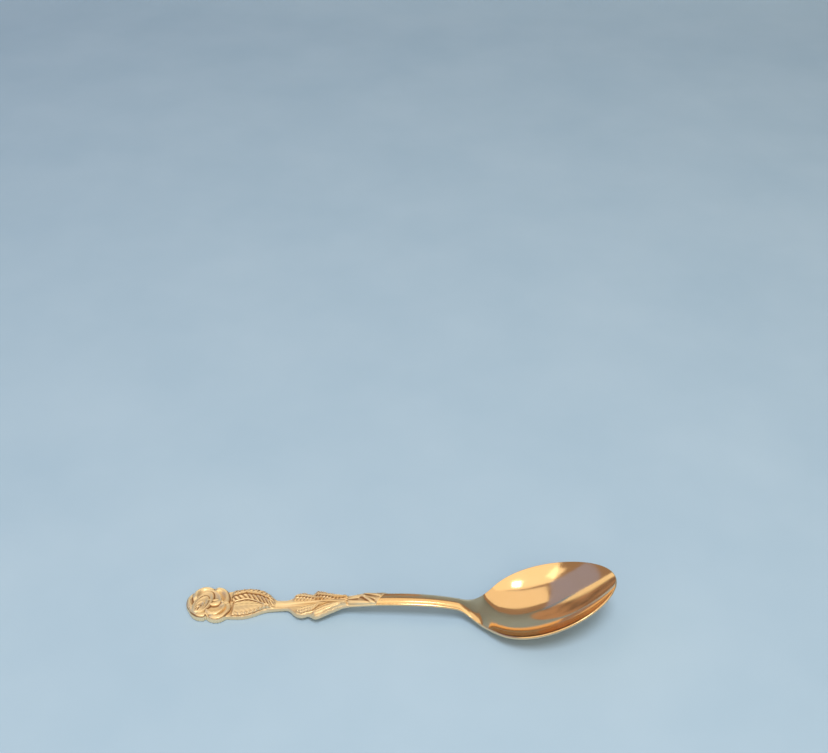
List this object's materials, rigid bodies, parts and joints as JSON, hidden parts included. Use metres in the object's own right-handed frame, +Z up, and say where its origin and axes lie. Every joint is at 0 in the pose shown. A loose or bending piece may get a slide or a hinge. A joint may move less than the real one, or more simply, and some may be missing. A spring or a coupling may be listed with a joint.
{
  "type": "souvenir spoon",
  "caption": "Gold-plated souvenir teaspoon with a relief rose and leaves along a slim handle and an egg-shaped bowl.",
  "frame": {"origin": "on the surface the spoon lies on, midway along its length and width", "axes": "+X along the spoon from the rose to the tip of the bowl, +Y across it, +Z up out of the hollow of the bowl"},
  "size_m": [0.1216, 0.0258, 0.0188],
  "materials": {
    "polished_gold": "polished gold plate",
    "blank_gold": "bright gold plate, lightly worn edges",
    "relief_gold": "struck relief in gold plate, darker in the creases",
    "rose_gold_relief": "struck relief in gold plate, darker in the creases"
  },
  "bodies": {
    "root": {"bowl": "polished_gold", "shank": "polished_gold", "bud_sheath": "relief_gold", "handle_blank": "blank_gold", "stem_rib": "relief_gold", "upper_leaf_left": "relief_gold", "upper_leaf_right": "relief_gold", "lower_leaf_inner_left": "relief_gold", "lower_leaf_inner_right": "relief_gold", "lower_leaf_outer_left": "relief_gold", "lower_leaf_outer_right": "relief_gold", "rose_outer_petals": "rose_gold_relief", "rose_inner_petals": "rose_gold_relief", "rose_heart": "rose_gold_relief"}
  },
  "joints": []
}
